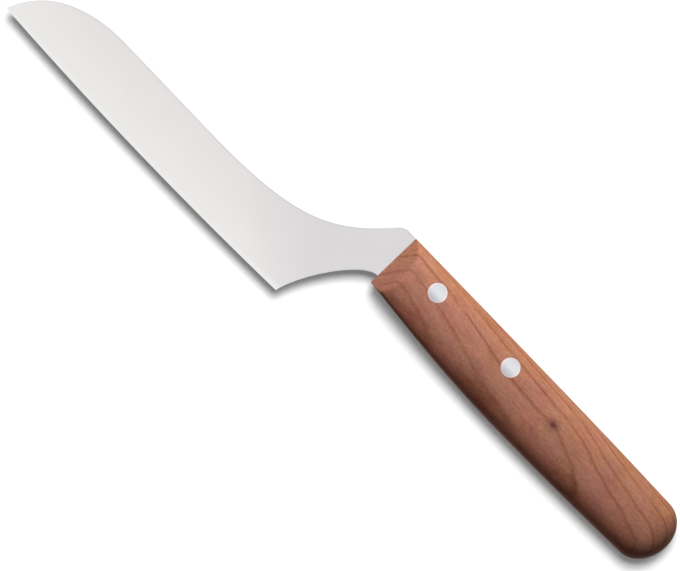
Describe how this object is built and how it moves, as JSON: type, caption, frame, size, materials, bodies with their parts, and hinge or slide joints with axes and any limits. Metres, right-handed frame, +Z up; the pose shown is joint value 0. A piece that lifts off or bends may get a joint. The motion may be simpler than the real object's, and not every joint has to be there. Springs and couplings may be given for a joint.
{
  "type": "cheese knife",
  "caption": "Cheese knife with a thin straight-edged blade on a cranked neck, set below a riveted oval wooden handle so that the fingers clear the board.",
  "frame": {"origin": "under the middle of the knife's box, on the surface it is set down on", "axes": "+X from the blade towards the butt, along the length; +Y from the cutting edge towards the spine; +Z up, square to the blade's side, through the thickness"},
  "size_m": [0.2426, 0.0408, 0.014],
  "materials": {
    "blade_steel": "stainless, fine ground satin",
    "handle_wood": "oiled cherry or plum wood, smooth sanded",
    "rivet_aluminium": "ground flush, satin"
  },
  "bodies": {
    "root": {"blade": "blade_steel", "handle": "handle_wood", "front_rivet_tube": "rivet_aluminium", "front_rivet_pin": "rivet_aluminium", "rear_rivet_tube": "rivet_aluminium", "rear_rivet_pin": "rivet_aluminium"}
  },
  "joints": []
}
